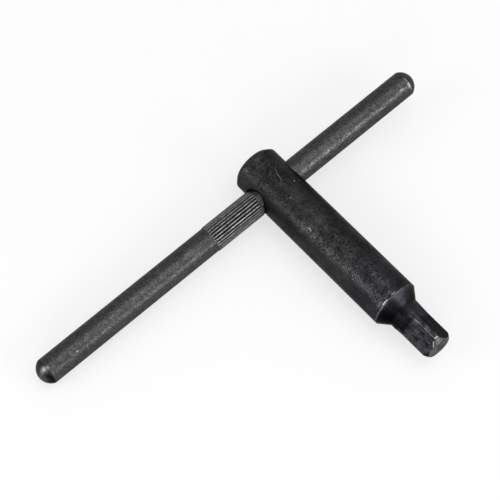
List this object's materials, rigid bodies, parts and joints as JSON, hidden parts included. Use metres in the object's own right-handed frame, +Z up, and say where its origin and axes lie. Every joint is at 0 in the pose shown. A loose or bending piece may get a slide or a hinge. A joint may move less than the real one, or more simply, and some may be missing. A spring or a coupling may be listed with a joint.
{
  "type": "lathe chuck key",
  "caption": "T-handled key for a lathe chuck: turned barrel with a square drive, and a domed cross bar with a straight knurl set off centre in the barrel's cross hole.",
  "frame": {"origin": "under the middle of the resting key's box, on the surface that it lies on", "axes": "+X along the barrel towards the square drive, +Z up, and the long end of the cross bar towards -Y, 2.3 degrees below level"},
  "size_m": [0.0968, 0.1768, 0.0186],
  "materials": {
    "barrel_steel": "black oxide on turned and milled steel, satin, with fine wear",
    "bar_steel": "darkened drawn steel, satin, rubbed lighter along one side"
  },
  "bodies": {
    "root": {"barrel": "barrel_steel", "cross_bar": "bar_steel"}
  },
  "joints": []
}
